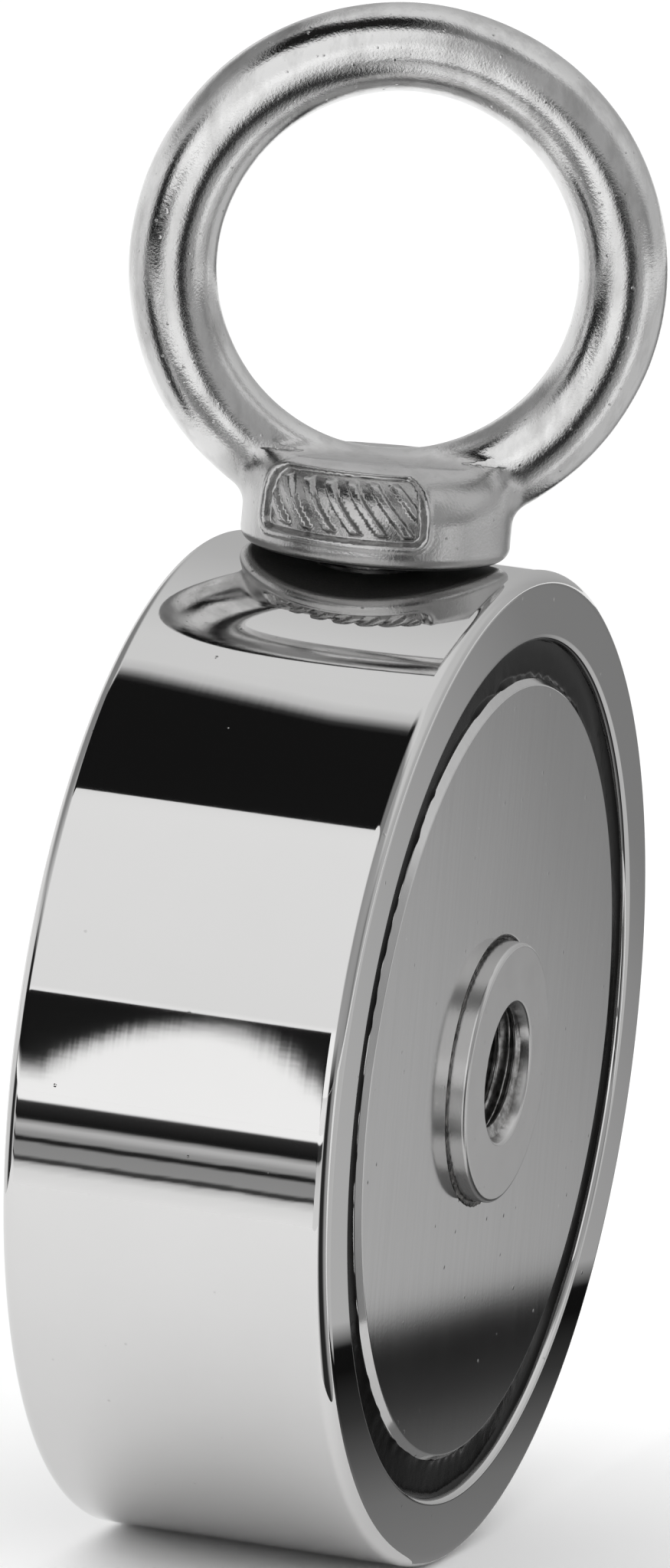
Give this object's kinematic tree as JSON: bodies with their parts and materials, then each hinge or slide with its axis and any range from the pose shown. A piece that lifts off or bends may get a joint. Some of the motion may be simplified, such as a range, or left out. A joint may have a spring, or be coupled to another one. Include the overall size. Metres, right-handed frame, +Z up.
{
  "type": "magnet fishing magnet",
  "caption": "Double-sided round fishing magnet: a plated steel disc with a ring magnet in each face, a threaded centre sleeve and a lifting eyebolt screwed into its rim.",
  "frame": {"origin": "middle of the threaded hole through the disc, which is the middle of the disc", "axes": "+X along the disc's axis out of its front face, +Z up through the eyebolt, +Y away from the front"},
  "size_m": [0.0382, 0.075, 0.1163],
  "materials": {
    "body_nickel": "mirror-polished nickel plate",
    "sleeve_nickel": "satin nickel plate",
    "magnet_nickel": "satin nickel plate on a sintered magnet",
    "resin": "glossy black potting resin",
    "glue": "dark hardened glue",
    "eyebolt_plate": "bright zinc plate over a forged surface"
  },
  "bodies": {
    "magnet": {"body": "body_nickel", "centre_sleeve": "sleeve_nickel", "magnet_front": "magnet_nickel", "magnet_back": "magnet_nickel", "resin_ring_front": "resin", "resin_ring_back": "resin", "glue_line_front": "glue", "glue_line_back": "glue"},
    "shank": {"eyebolt_shank": "eyebolt_plate"},
    "lifting_eye": {"eyebolt_eye": "eyebolt_plate"}
  },
  "joints": [
    {"name": "eyebolt_rise", "type": "slide", "parent": "magnet", "child": "shank", "axis": [0, 0, 1], "range_m": [0, 0.0174]},
    {"name": "eyebolt_turn", "type": "hinge", "parent": "shank", "child": "lifting_eye", "pos_m": [0, 0, 0.0378], "axis": [0, 0, 1], "range_deg": [0, 4176]}
  ],
  "couplings": [
    {"joint": "eyebolt_rise", "follows": "eyebolt_turn", "m_per_rad": 0.00023873}
  ]
}
